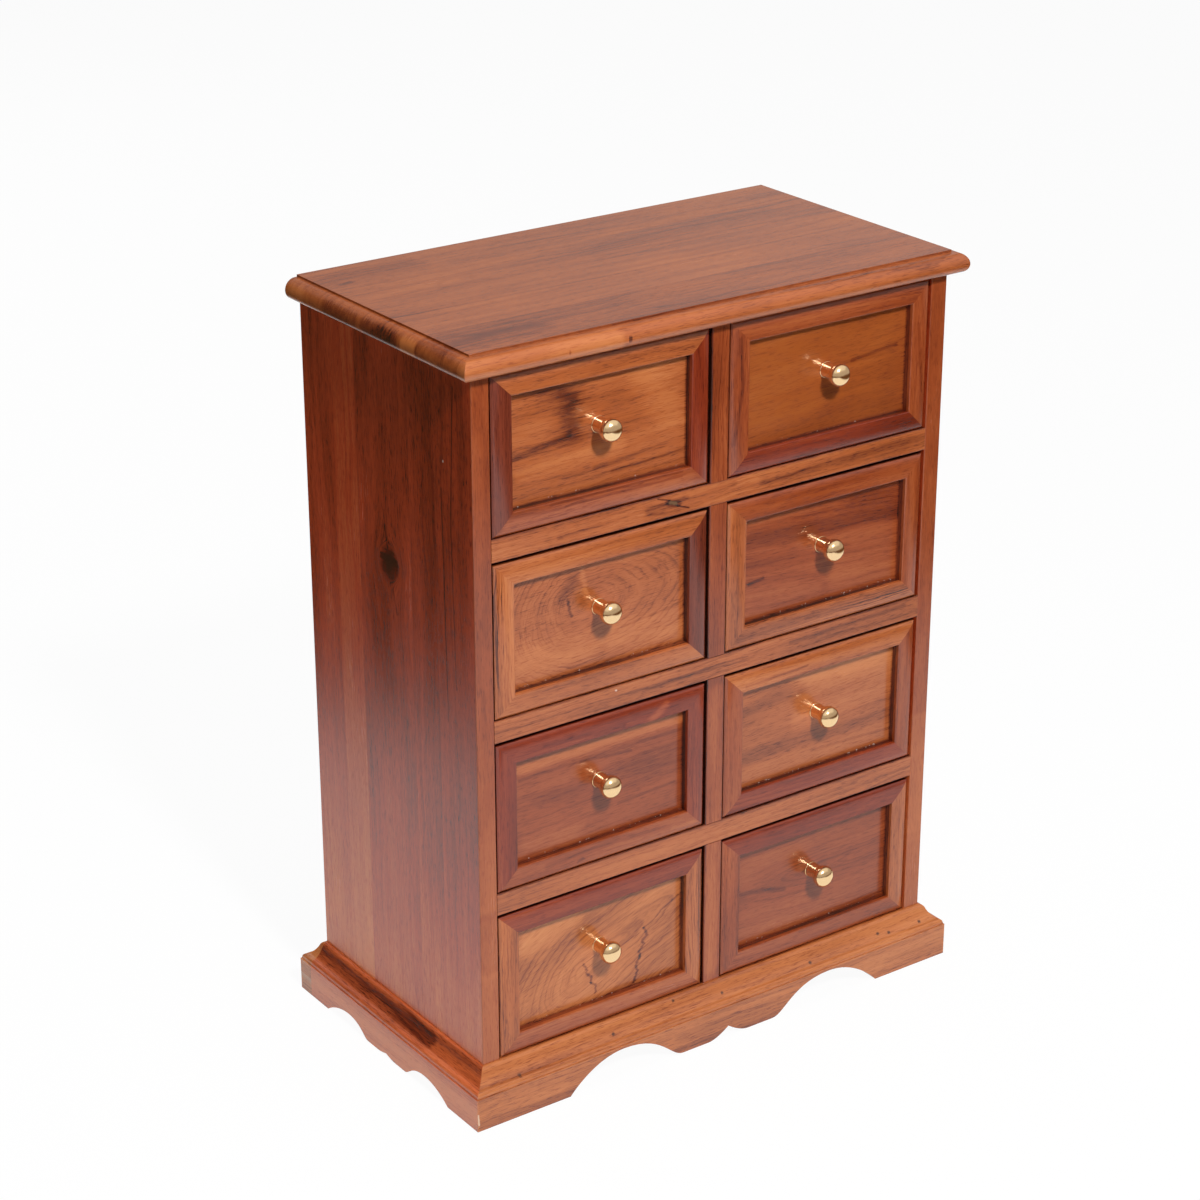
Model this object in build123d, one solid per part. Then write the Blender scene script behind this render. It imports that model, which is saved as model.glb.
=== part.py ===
"""A tabletop chest of drawers: two columns of drawers in a board carcass on a scalloped plinth.

Millimetres. The chest stands on z = 0 with its front towards -Y, +X to the right and +Z up.
The origin is the middle of the carcass's plan, on the floor.
"""
from build123d import *
import os

# Carcass boards
carcass_depth = 160.0
bay_width = 133.9           # clear width of one drawer bay
bay_height = 85.2           # clear height of one drawer bay
row_count = 4
side_thickness = 10.5
divider_thickness = 11.2
shelf_thickness = 12.5
bottom_thickness = 12.0
back_thickness = 5.0
back_lap = 5.5              # how far the back panel lies over each side
shelf_housing = 4.0         # how deep the shelves and the bottom are let into the sides
divider_housing = 3.0       # how deep the dividers are let into the boards above and below
housing_stop = 8.0          # the housings stop this far behind the front edges
edge_round = 0.6            # rounding of the front edges

# Top board, moulded along the front and the sides
top_thickness = 12.0
top_outset = 8.4            # furthest reach of the moulding past the carcass
top_lip = 1.2               # overhang of the flat top
top_step = 1.2              # small drop at the edge of the flat
top_ledge = 1.0             # small ledge under that drop
nose_drop = 7.3             # depth of the furthest point of the nose below the flat
nose_under = 4.6            # outset at which the nose meets the underside
nose_flat_pull = 0.6        # pulls are shares: how far a curve follows its straight neighbour
nose_tip_pull = 0.5

# Plinth boards, moulded along the top
plinth_height = 31.0
plinth_thickness = 11.25
plinth_face = 19.0          # height of the plain face below the moulding
cap_width = 2.8             # rounded cap beside the carcass
cap_drop = 1.8
cove_depth = 0.45           # hollow of the slope below the cap
bead_width = 2.6            # rounded bead between the slope and the plain face
bead_height = 3.2
quirk_width = 0.6           # small step between the bead and the plain face
cap_pull = 0.6

# Scallops along the floor, measured from the middle of each pattern
front_reach = 106.0         # where the foot begins
front_arch = 71.0           # middle of the arch
front_arch_height = 17.3
front_lobe_outer = 31.0     # the low lobe lies between these two
front_lobe_inner = 14.0
front_cusp_height = 6.4     # little point between the two lobes
front_shift = 3.8           # the front pattern is cut a little off the middle
side_reach = 62.0
side_arch = 39.0
side_arch_height = 7.8
side_lobe_outer = 19.0
side_lobe_inner = 9.0
side_cusp_height = 2.0
lobe_clearance = 0.4        # the lobes stay this far off the floor
foot_pull_in = 0.18         # the foot's curve leaves the floor leaning in by this share
foot_pull_up = 0.4
arch_foot_pull = 0.45
arch_lobe_pull = 0.65
lobe_pull = 0.22
cusp_pull = 0.4

# Drawers
drawer_side_gap = 1.3
drawer_top_gap = 2.2
drawer_floor_gap = 0.3
drawer_back_gap = 0.5
front_thickness = 8.0
front_proud = 0.5           # the frame stands this far in front of the carcass
frame_width = 11.5
frame_thickness = 5.0
frame_slope = 4.7           # width of the rounded slope along the frame's outer edge
frame_slope_drop = 1.7      # how far the slope falls at the outer edge
frame_inner_round = 0.8
slope_outer_pull = 0.2      # fullness of the slope's curve
slope_drop_pull = 0.35
wall_thickness = 7.0
wall_height = 70.0
wall_lap = 4.0              # how far the walls are let into the back of the front
panel_thickness = 4.0       # drawer bottom
panel_groove = 3.0
panel_rise = 4.0            # height of the bottom's underside above the walls' lower edges

# Knobs and their screws
knob_head_radius = 6.2
knob_head_thickness = 8.6
knob_reach = 11.2           # from the front panel to the middle of the head
knob_neck_radius = 4.2
knob_base_radius = 4.5
knob_base_thickness = 0.6
knob_cove_height = 0.8      # height of the hollow between the base and the neck
knob_rise = 3.2             # the knobs sit this far above the middle of the drawer fronts
knob_back_pull = 0.7        # fullness of the head's curves
knob_rim_pull = 0.6
knob_crown_rim_pull = 0.55
knob_crown_tip_pull = 0.55
screw_radius = 2.0
screw_grip = 6.0            # length of the screw inside the knob
screw_head_radius = 4.0
screw_head_thickness = 2.2
screw_clearance = 0.1

# Dowels and nails
dowel_radius = 3.0
dowel_in_side = 9.0
dowel_in_top = 7.0
dowel_inset = 28.0          # from the front and the back of the carcass
dowels_per_side = 3
nail_radius = 0.6
nail_length = 13.0
nail_start = 5.0            # outset of a plinth nail's head, under the moulded face
nail_end_margin = 21.0      # from the outer nails to the ends of the plinth boards
front_nail_count = 5
side_nail_count = 3
nail_head_radius = 1.4
nail_head_thickness = 0.6
fit_clearance = 0.03        # between a round fastener and its hole

# Places worked out from the sizes above
inner_half = bay_width + divider_thickness / 2
carcass_half = inner_half + side_thickness
carcass_front = -carcass_depth / 2
carcass_back = carcass_depth / 2
back_face = carcass_back - back_thickness
carcass_bottom = plinth_height - bottom_thickness
row_pitch = bay_height + shelf_thickness
top_underside = plinth_height + row_count * bay_height + (row_count - 1) * shelf_thickness
top_surface = top_underside + top_thickness
front_y = carcass_front - front_proud + frame_thickness
drawer_end = back_face - drawer_back_gap
reach = 2 * (carcass_half + carcass_depth)
plinth_nail_height = carcass_bottom + bottom_thickness / 3
bottom_nail_height = plinth_height - bottom_thickness / 3


def slab(x_low, x_high, y_low, y_high, z_low, z_high):
    """A plain board between two corners."""
    middle = Pos((x_low + x_high) / 2, (y_low + y_high) / 2, (z_low + z_high) / 2)
    return middle * Box(x_high - x_low, y_high - y_low, z_high - z_low)


def rod(start, way, length, radius):
    """A round bar from a point along a direction."""
    return extrude(Plane(start, z_dir=way) * Circle(radius), amount=length)


def bay_floor(row):
    """Height of the floor of a row's bays; row 1 is the top one."""
    return plinth_height + (row_count - row) * row_pitch


def ease_front(board, axis):
    """Rounds the edges of the front face that run along the axis."""
    front_edges = board.edges().filter_by(axis).group_by(Axis.Y)[0]
    return fillet(front_edges, edge_round)


def top_nose(face, way):
    """The top's moulded edge, from the flat to the underside, past a carcass face."""
    def at(out, drop):
        return (face + way * out, top_surface - drop)

    ledge = top_lip + top_ledge
    nose_rise = nose_drop - top_step
    under_drop = top_thickness - nose_drop
    step = Polyline(at(top_lip, 0), at(top_lip, top_step), at(ledge, top_step))
    upper = Bezier(
        at(ledge, top_step),
        at(ledge + nose_flat_pull * (top_outset - ledge), top_step),
        at(top_outset, nose_drop - nose_tip_pull * nose_rise),
        at(top_outset, nose_drop),
    )
    lower = Bezier(
        at(top_outset, nose_drop),
        at(top_outset, nose_drop + nose_tip_pull * under_drop),
        at(nose_under + nose_flat_pull * (top_outset - nose_under), top_thickness),
        at(nose_under, top_thickness),
    )
    return [*step.edges(), upper, lower]


def plinth_moulding(face, way):
    """The plinth's outer face, from the carcass down to the floor."""
    def at(out, height):
        return (face + way * out, height)

    bead_out = plinth_thickness - quirk_width
    slope_out = bead_out - bead_width
    slope_low = plinth_face + bead_height
    cap = at(cap_width, plinth_height - cap_drop)
    slope_end = at(slope_out, slope_low)
    rounded_cap = Bezier(at(0, plinth_height), at(cap_pull * cap_width, plinth_height), cap)
    hollow = at(
        (cap_width + slope_out) / 2 - cove_depth,
        (plinth_height - cap_drop + slope_low) / 2 - cove_depth,
    )
    cove = ThreePointArc(cap, hollow, slope_end)
    bead = Bezier(slope_end, at(bead_out, slope_low), at(bead_out, plinth_face))
    face_line = Polyline(
        at(bead_out, plinth_face), at(plinth_thickness, plinth_face), at(plinth_thickness, 0),
    )
    return [rounded_cap, cove, bead, *face_line.edges()]


def section(first_edges, second_edges):
    """A closed cross-section: two edge outlines, joined by straight lines along the top and bottom."""
    top_line = Line(first_edges[0] @ 0, second_edges[0] @ 0)
    bottom_line = Line(first_edges[-1] @ 1, second_edges[-1] @ 1)
    return make_face([*first_edges, *second_edges, top_line, bottom_line])


def crossed(side_section, front_section):
    """The block that both sections cut: its mouldings meet in mitres at the corners."""
    along_depth = extrude(Plane.XZ * side_section, amount=reach, both=True)
    along_width = extrude(Plane.YZ * front_section, amount=reach, both=True)
    return along_depth & along_width


def scallop(foot, arch, arch_height, lobe_outer, lobe_inner, cusp_height):
    """The space under a plinth board: an arch, a low lobe and half a cusp on each side of a middle."""
    def half(way):
        def at(out, height):
            return (way * out, height)

        foot_curve = Bezier(
            at(foot, 0),
            at(foot - foot_pull_in * (foot - arch), foot_pull_up * arch_height),
            at(arch + arch_foot_pull * (foot - arch), arch_height),
            at(arch, arch_height),
        )
        lobe_curve = Bezier(
            at(arch, arch_height),
            at(arch - arch_lobe_pull * (arch - lobe_outer), arch_height),
            at(lobe_outer + lobe_pull * (arch - lobe_outer), lobe_clearance),
            at(lobe_outer, lobe_clearance),
        )
        lobe = Line(at(lobe_outer, lobe_clearance), at(lobe_inner, lobe_clearance))
        cusp_curve = Bezier(
            at(lobe_inner, lobe_clearance),
            at((1 - cusp_pull) * lobe_inner, lobe_clearance),
            at(0, cusp_height),
        )
        return [foot_curve, lobe_curve, lobe, cusp_curve]

    below = Polyline((-foot, 0), (-foot, -arch_height), (foot, -arch_height), (foot, 0))
    return make_face([*half(-1), *half(1), *below.edges()])


def make_top():
    left = top_nose(-carcass_half, -1)
    right = top_nose(carcass_half, 1)
    front = top_nose(carcass_front, -1)
    back = Line((carcass_back, top_surface), (carcass_back, top_underside)).edges()
    board = crossed(section(left, right), section(front, back))
    board -= divider_tongue(top_underside)
    for x, y in dowel_places():
        board -= rod((x, y, top_underside), (0, 0, 1), dowel_in_top, dowel_radius + fit_clearance)
    return board


def divider_tongue(height):
    """The part of a divider that is let into the board that has a face at this height."""
    return slab(
        -divider_thickness / 2, divider_thickness / 2,
        carcass_front + housing_stop, back_face,
        height - divider_housing, height + divider_housing,
    )


def make_divider(row):
    low = bay_floor(row)
    high = low + bay_height
    half = divider_thickness / 2
    board = ease_front(slab(-half, half, carcass_front, back_face, low, high), Axis.Z)
    return board + slab(
        -half, half, carcass_front + housing_stop, back_face, low - divider_housing, high + divider_housing,
    )


def shelf_tongue(low, thickness):
    """The part of a shelf that is let into the sides."""
    half = inner_half + shelf_housing
    return slab(-half, half, carcass_front + housing_stop, back_face, low, low + thickness)


def make_shelf(row):
    """The shelf under a row's bays."""
    high = bay_floor(row)
    low = high - shelf_thickness
    board = ease_front(slab(-inner_half, inner_half, carcass_front, back_face, low, high), Axis.X)
    board += shelf_tongue(low, shelf_thickness)
    board -= divider_tongue(high)
    board -= divider_tongue(low)
    return board - back_nail_holes()


def make_bottom():
    board = slab(-inner_half, inner_half, carcass_front, back_face, carcass_bottom, plinth_height)
    board += shelf_tongue(carcass_bottom, bottom_thickness)
    board -= divider_tongue(plinth_height)
    return board - plinth_nail_holes() - back_nail_holes()


def make_side(way):
    outer = way * carcass_half
    inner = way * inner_half
    x_low = min(outer, inner)
    x_high = max(outer, inner)
    board = slab(x_low, x_high, carcass_front, carcass_back, carcass_bottom, top_underside)
    board = ease_front(board, Axis.Z)
    board -= back_sheet()
    board -= shelf_tongue(carcass_bottom, bottom_thickness)
    for row in range(1, row_count):
        board -= shelf_tongue(bay_floor(row) - shelf_thickness, shelf_thickness)
    for x, y in dowel_places():
        board -= rod((x, y, top_underside), (0, 0, -1), dowel_in_side, dowel_radius + fit_clearance)
    return board - plinth_nail_holes() - back_nail_holes()


def back_sheet():
    half = inner_half + back_lap
    return slab(-half, half, back_face, carcass_back, carcass_bottom, top_underside)


def make_back():
    return back_sheet() - plinth_nail_holes() - back_nail_holes()


def make_plinth():
    """The four plinth boards: front, left, right and back."""
    side_section = section(plinth_moulding(-carcass_half, -1), plinth_moulding(carcass_half, 1))
    front_section = section(plinth_moulding(carcass_front, -1), plinth_moulding(carcass_back, 1))
    block = crossed(side_section, front_section)
    outer_half = carcass_half + plinth_thickness
    outer_front = carcass_front - plinth_thickness
    outer_back = carcass_back + plinth_thickness

    def board(corners):
        return block & extrude(make_face(Polyline(*corners, close=True)), amount=plinth_height)

    front = board([
        (-outer_half, outer_front), (outer_half, outer_front),
        (carcass_half, carcass_front), (-carcass_half, carcass_front),
    ])
    front_cut = scallop(
        front_reach, front_arch, front_arch_height, front_lobe_outer, front_lobe_inner, front_cusp_height,
    )
    front -= extrude(Plane.XZ * Pos(front_shift, 0) * front_cut, amount=reach, both=True)
    side_cut = scallop(
        side_reach, side_arch, side_arch_height, side_lobe_outer, side_lobe_inner, side_cusp_height,
    )
    side_space = extrude(Plane.YZ * side_cut, amount=reach, both=True)
    sides = []
    for way in (-1, 1):
        side = board([
            (way * outer_half, outer_front), (way * carcass_half, carcass_front),
            (way * carcass_half, carcass_back), (way * outer_half, carcass_back),
        ])
        sides.append(side - side_space - plinth_nail_holes())
    back = board([
        (-outer_half, carcass_back), (outer_half, carcass_back),
        (outer_half, outer_back), (-outer_half, outer_back),
    ])
    holes = plinth_nail_holes()
    return front - holes, sides[0], sides[1], back - holes


def spread(half, count):
    """Evenly spaced places from -half to half."""
    return [half * (2 * index / (count - 1) - 1) for index in range(count)]


def plinth_nails():
    """Each nail's head and the direction that it was driven in."""
    nails = []
    for x in spread(carcass_half - nail_end_margin, front_nail_count):
        nails.append(((x, carcass_front - nail_start, plinth_nail_height), (0, 1, 0)))
        nails.append(((x, carcass_back + nail_start, plinth_nail_height), (0, -1, 0)))
    for y in spread(carcass_depth / 2 - nail_end_margin, side_nail_count):
        for way in (-1, 1):
            nails.append(((way * (carcass_half + nail_start), y, plinth_nail_height), (-way, 0, 0)))
    return nails


def plinth_nail_holes():
    """The nails' holes, open to the outside of the plinth."""
    holes = []
    for head, way in plinth_nails():
        mouth = Vector(head) - Vector(way) * plinth_thickness
        holes.append(rod(mouth, way, plinth_thickness + nail_length, nail_radius + fit_clearance))
    return holes


def back_nails():
    """Places of the back panel's nails, in the sides and in the shelves and the bottom."""
    side_x = inner_half + back_lap / 2
    bay_x = (bay_width + divider_thickness) / 2
    places = []
    for row in range(1, row_count + 1):
        places += [(way * side_x, bay_floor(row) + bay_height / 2) for way in (-1, 1)]
    for row in range(1, row_count):
        places += [(way * bay_x, bay_floor(row) - shelf_thickness / 2) for way in (-1, 1)]
    places += [(way * bay_x, bottom_nail_height) for way in (-1, 1)]
    return places


def back_nail(x, z, extra):
    """A nail driven from the back, its head flush, or its hole with extra room around it."""
    shank = rod((x, carcass_back, z), (0, -1, 0), nail_length + extra, nail_radius + extra)
    head = rod((x, carcass_back, z), (0, -1, 0), nail_head_thickness + extra, nail_head_radius + extra)
    return shank + head


def back_nail_holes():
    return [back_nail(x, z, fit_clearance) for x, z in back_nails()]


def dowel_places():
    x = inner_half + side_thickness / 2
    rows = spread(carcass_depth / 2 - dowel_inset, dowels_per_side)
    return [(way * x, y) for way in (-1, 1) for y in rows]


def make_dowels():
    low = top_underside - dowel_in_side
    length = dowel_in_side + dowel_in_top
    return [rod((x, y, low), (0, 0, 1), length, dowel_radius) for x, y in dowel_places()]


def frame_strip(length):
    """One mitred frame strip lying on XY: its outer edge along X at y = 0, its top towards +Z."""
    slope_start = (0, frame_thickness - frame_slope_drop)
    slope_end = (frame_slope, frame_thickness)
    band_end = (frame_width - frame_inner_round, frame_thickness)
    slope = Bezier(
        slope_start,
        (slope_outer_pull * frame_slope, frame_thickness - slope_drop_pull * frame_slope_drop),
        slope_end,
    )
    band = Line(slope_end, band_end)
    corner = (frame_width, frame_thickness)
    inner_start = (frame_width, frame_thickness - frame_inner_round)
    inner = Bezier(band_end, corner, inner_start)
    rest = Polyline(inner_start, (frame_width, 0), (0, 0), slope_start)
    profile = make_face([slope, band, inner, *rest.edges()])
    half = length / 2
    bar = extrude(Plane.YZ * profile, amount=half, both=True)
    inner_half_length = half - frame_width
    mitres = Polyline(
        (-half, 0), (half, 0),
        (inner_half_length, frame_width), (-inner_half_length, frame_width),
        close=True,
    )
    return bar & extrude(make_face(mitres), amount=frame_thickness)


def make_knob(x, z):
    """A turned knob on the front panel, and the screw that holds it from inside the drawer."""
    head_half = knob_head_thickness / 2
    head_back = knob_reach - head_half
    head_tip = knob_reach + head_half
    cove_top = knob_base_thickness + knob_cove_height
    base = Polyline((0, 0), (knob_base_radius, 0), (knob_base_radius, knob_base_thickness))
    cove = Bezier(
        (knob_base_radius, knob_base_thickness),
        (knob_neck_radius, knob_base_thickness),
        (knob_neck_radius, cove_top),
    )
    neck = Line((knob_neck_radius, cove_top), (knob_neck_radius, head_back))
    underside = Bezier(
        (knob_neck_radius, head_back),
        (knob_back_pull * knob_head_radius, head_back),
        (knob_head_radius, knob_reach - knob_rim_pull * head_half),
        (knob_head_radius, knob_reach),
    )
    crown = Bezier(
        (knob_head_radius, knob_reach),
        (knob_head_radius, knob_reach + knob_crown_rim_pull * head_half),
        (knob_crown_tip_pull * knob_head_radius, head_tip),
        (0, head_tip),
    )
    axis_line = Line((0, head_tip), (0, 0))
    knob = revolve(make_face([*base.edges(), cove, neck, underside, crown, axis_line]), Axis.Y)
    place = Plane((x, front_y, z), x_dir=(1, 0, 0), z_dir=(0, 0, -1))
    knob = place * knob
    knob -= rod((x, front_y, z), (0, -1, 0), screw_grip + screw_clearance, screw_radius + fit_clearance)
    inside = front_y + front_thickness
    screw = rod((x, inside, z), (0, -1, 0), front_thickness + screw_grip, screw_radius)
    screw += rod((x, inside, z), (0, 1, 0), screw_head_thickness, screw_head_radius)
    return knob, screw


def make_drawer(column, row):
    """The pieces of one drawer, by name; column is -1 for left and 1 for right."""
    middle = column * (bay_width + divider_thickness) / 2
    half = bay_width / 2 - drawer_side_gap
    x_low = middle - half
    x_high = middle + half
    z_low = bay_floor(row) + drawer_floor_gap
    z_high = bay_floor(row) + bay_height - drawer_top_gap
    z_middle = (z_low + z_high) / 2
    knob_height = z_middle + knob_rise
    wall_top = z_low + wall_height
    front_back = front_y + front_thickness
    wall_start = front_back - wall_lap
    panel_low = z_low + panel_rise
    panel_high = panel_low + panel_thickness

    panel = slab(
        x_low + wall_thickness - panel_groove, x_high - wall_thickness + panel_groove,
        front_back - panel_groove, drawer_end, panel_low, panel_high,
    )
    left_wall = slab(x_low, x_low + wall_thickness, wall_start, drawer_end, z_low, wall_top)
    right_wall = slab(x_high - wall_thickness, x_high, wall_start, drawer_end, z_low, wall_top)
    back_wall = slab(
        x_low + wall_thickness, x_high - wall_thickness,
        drawer_end - wall_thickness, drawer_end, panel_high, wall_top,
    )
    front = slab(x_low, x_high, front_y, front_back, z_low, z_high)
    front = front - left_wall - right_wall - panel
    front -= rod((middle, front_y, knob_height), (0, 1, 0), front_thickness, screw_radius + screw_clearance)

    across = frame_strip(x_high - x_low)
    upright = frame_strip(z_high - z_low)
    outwards = (0, -1, 0)
    frame = [
        Plane((middle, front_y, z_low), x_dir=(1, 0, 0), z_dir=outwards) * across,
        Plane((middle, front_y, z_high), x_dir=(-1, 0, 0), z_dir=outwards) * across,
        Plane((x_low, front_y, z_middle), x_dir=(0, 0, -1), z_dir=outwards) * upright,
        Plane((x_high, front_y, z_middle), x_dir=(0, 0, 1), z_dir=outwards) * upright,
    ]
    return {
        "front": [front],
        "frame": frame,
        "walls": [left_wall - panel, right_wall - panel, back_wall],
        "bottom": [panel],
        "knob": make_knob(middle, knob_height),
    }


def save(name, pieces):
    """Writes one node: a single solid, or a group of separate solids."""
    solids = [solid for piece in pieces for solid in piece.solids()]
    node = solids[0] if len(solids) == 1 else Compound(children=solids)
    export_step(node, f"parts/{name}.step")
    print(name, len(solids), "solids")


os.makedirs("parts", exist_ok=True)
save("top_board", [make_top()])
save("left_side", [make_side(-1)])
save("right_side", [make_side(1)])
save("bottom_board", [make_bottom()])
save("back_panel", [make_back()])
for row in range(1, row_count):
    save(f"shelf_{row}", [make_shelf(row)])
for row in range(1, row_count + 1):
    save(f"divider_{row}", [make_divider(row)])
for name, board in zip(("front", "left", "right", "back"), make_plinth()):
    save(f"plinth_{name}", [board])
save("plinth_nails", [rod(head, way, nail_length, nail_radius) for head, way in plinth_nails()])
save("back_nails", [back_nail(x, z, 0) for x, z in back_nails()])
save("top_dowels", make_dowels())
for column, side_name in ((-1, "left"), (1, "right")):
    for row in range(1, row_count + 1):
        for piece_name, pieces in make_drawer(column, row).items():
            save(f"drawer_{side_name}_{row}_{piece_name}", pieces)
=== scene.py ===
# %% [markdown]
# # A teak chest of eight small drawers
#
# The chest is a carcass of solid boards with a moulded top, a scalloped plinth and eight drawers. Each
# drawer front is a flat panel inside a mitred frame, with one turned brass knob. The construction comes
# ready made as a frame of CAD bodies. This script gives it moulded edges, turned brass, varnished wood,
# light and a camera. Everything is in metres, the front looks along -Y and the floor is at height zero.

# %% Load the frame
import math

import bmesh
import bpy
from mathutils import Euler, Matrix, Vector

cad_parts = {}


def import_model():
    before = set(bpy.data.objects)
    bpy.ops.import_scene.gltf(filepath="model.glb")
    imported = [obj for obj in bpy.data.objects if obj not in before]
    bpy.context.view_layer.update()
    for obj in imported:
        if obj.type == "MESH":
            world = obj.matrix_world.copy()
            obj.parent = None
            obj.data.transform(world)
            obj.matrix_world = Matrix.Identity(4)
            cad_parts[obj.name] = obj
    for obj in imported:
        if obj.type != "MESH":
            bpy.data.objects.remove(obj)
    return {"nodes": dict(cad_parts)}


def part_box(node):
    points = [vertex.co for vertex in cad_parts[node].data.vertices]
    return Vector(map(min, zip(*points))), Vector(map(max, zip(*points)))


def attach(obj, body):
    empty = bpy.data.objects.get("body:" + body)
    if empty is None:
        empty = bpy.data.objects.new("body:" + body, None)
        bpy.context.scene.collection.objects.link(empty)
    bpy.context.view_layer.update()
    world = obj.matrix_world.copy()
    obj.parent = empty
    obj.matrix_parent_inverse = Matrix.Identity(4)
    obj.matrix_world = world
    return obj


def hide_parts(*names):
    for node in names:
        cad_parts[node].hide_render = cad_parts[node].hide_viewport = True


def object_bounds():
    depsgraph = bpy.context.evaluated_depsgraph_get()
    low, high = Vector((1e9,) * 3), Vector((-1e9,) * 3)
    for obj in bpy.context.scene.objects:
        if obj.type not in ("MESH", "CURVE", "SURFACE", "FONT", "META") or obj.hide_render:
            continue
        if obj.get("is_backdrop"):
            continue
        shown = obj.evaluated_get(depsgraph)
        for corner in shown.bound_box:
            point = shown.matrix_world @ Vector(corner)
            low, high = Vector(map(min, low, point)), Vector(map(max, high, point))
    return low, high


cad_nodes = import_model()["nodes"]
cad_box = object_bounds()
mm = 0.001
sides = ("left", "right")
rows = (1, 2, 3, 4)
drawers = [f"drawer_{side}_{row}" for side in sides for row in rows]
print(len(cad_nodes), "CAD nodes")

# %% [markdown]
# ## Working by hand in edit mode
#
# Every new piece starts as a primitive and is shaped with edit-mode operators. An operator works on
# whatever is selected, so small helpers come first: one opens a fresh primitive for editing with nothing
# else selected, others select all points or those that pass a test of their place. One more finds points
# along a smooth curve, which is how a cutter's outline is written down.

# %% Modelling helpers
def fix_place():
    """Moves the place, turn and scale of the active object into its mesh."""
    bpy.ops.object.transform_apply(location=True, rotation=True, scale=True)


def start_piece(name, shape, scale=(1, 1, 1), **settings):
    """Adds a primitive of some shape with nothing else selected, names it and opens it for editing."""
    add_primitive = getattr(bpy.ops.mesh, f"primitive_{shape}_add")
    bpy.ops.object.select_all(action="DESELECT")
    add_primitive(**settings)
    piece = bpy.context.object
    piece.name = name
    piece.scale = scale
    fix_place()
    bpy.ops.object.mode_set(mode="EDIT")
    bpy.ops.mesh.select_mode(type="VERT")
    return piece


def pick_all():
    bpy.ops.mesh.select_all(action="SELECT")


def pull_out(move):
    """Extrudes what is selected along a move."""
    bpy.ops.mesh.extrude_region_move(TRANSFORM_OT_translate={"value": move})


def draw_chain(name, start, moves):
    """Shrinks a small plane to one point and pulls it out, move by move, to a chain of edges."""
    piece = start_piece(name, "plane", size=mm, location=start)
    pick_all()
    bpy.ops.mesh.merge(type="CENTER")
    for move in moves:
        pull_out(move)
    pick_all()
    return piece


def pick(piece, test):
    """Selects the points whose place passes the test, with the edges and faces between them."""
    mesh = bmesh.from_edit_mesh(piece.data)
    for vertex in mesh.verts:
        vertex.select = test(vertex.co)
    mesh.select_flush_mode()
    mesh.select_flush(True)
    bmesh.update_edit_mesh(piece.data)


def curve_points(control, count):
    """Points along the Bezier curve of some control points, without its first point."""
    made = []
    for step in range(1, count + 1):
        share = step / count
        points = [Vector(point) for point in control]
        while len(points) > 1:
            points = [first.lerp(second, share) for first, second in zip(points, points[1:])]
        made.append(points[0])
    return made


def close_piece(piece, smooth_angle=35):
    """Merges doubles, turns every face outwards, leaves edit mode and smooths the round stretches."""
    pick_all()
    bpy.ops.mesh.remove_doubles(threshold=0.002 * mm)
    bpy.ops.mesh.normals_make_consistent(inside=False)
    bpy.ops.object.mode_set(mode="OBJECT")
    bpy.ops.object.shade_smooth_by_angle(angle=math.radians(smooth_angle))
    print(piece.name, len(piece.data.polygons), "faces")


def soften(piece, width, segments=2, angle=40):
    """Rounds the arrises with a Bevel modifier and applies it."""
    rounding = piece.modifiers.new("soft_arris", "BEVEL")
    rounding.width = width
    rounding.segments = segments
    rounding.limit_method = "ANGLE"
    rounding.angle_limit = math.radians(angle)
    bpy.ops.object.modifier_apply(modifier=rounding.name)


def copy_piece(piece, name, move):
    """A copy with a mesh of its own, moved in its mesh so that the object stays at the origin."""
    bpy.ops.object.select_all(action="DESELECT")
    piece.select_set(True)
    bpy.context.view_layer.objects.active = piece
    bpy.ops.object.duplicate(linked=False)
    made = bpy.context.object
    made.name = name
    bpy.ops.transform.translate(value=move)
    fix_place()
    return made


def in_mm(values, digits=2):
    """Lengths in millimetres, rounded for printing."""
    return [round(value / mm, digits) for value in values]


carcass_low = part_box("left_side")[0]
carcass_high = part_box("right_side")[1]
print("carcass", in_mm((*carcass_low, *carcass_high)))

# %% [markdown]
# ## The top board
#
# The top overhangs the carcass at the front and the sides and is plain at the back. Its edge has a small
# square step and then a round nose. A curve swept round a path could make it, but the mitred corners come
# out cleanest when one rectangle is extruded outwards, profile point by profile point, and each new
# outline is stretched about the middle of the back edge.

# %% Model the top board
top_low, top_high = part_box("top_board")
top_thickness = top_high.z - top_low.z
top_lip = 1.2 * mm
top_step = 1.2 * mm
top_shoulder = 2.2 * mm
nose_drop = 7.3 * mm
nose_reach = carcass_low.y - top_low.y
under_reach = 4.6 * mm
nose_pull = 0.6
tip_pull = 0.5

upper_nose = [
    (top_shoulder, top_step),
    (top_shoulder + nose_pull * (nose_reach - top_shoulder), top_step),
    (nose_reach, nose_drop - tip_pull * (nose_drop - top_step)),
    (nose_reach, nose_drop),
]
lower_nose = [
    (nose_reach, nose_drop),
    (nose_reach, nose_drop + tip_pull * (top_thickness - nose_drop)),
    (under_reach + nose_pull * (nose_reach - under_reach), top_thickness),
    (under_reach, top_thickness),
]
top_profile = [Vector((top_lip, top_step)), Vector((top_shoulder, top_step))]
top_profile += curve_points(upper_nose, 10) + curve_points(lower_nose, 8)

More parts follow.
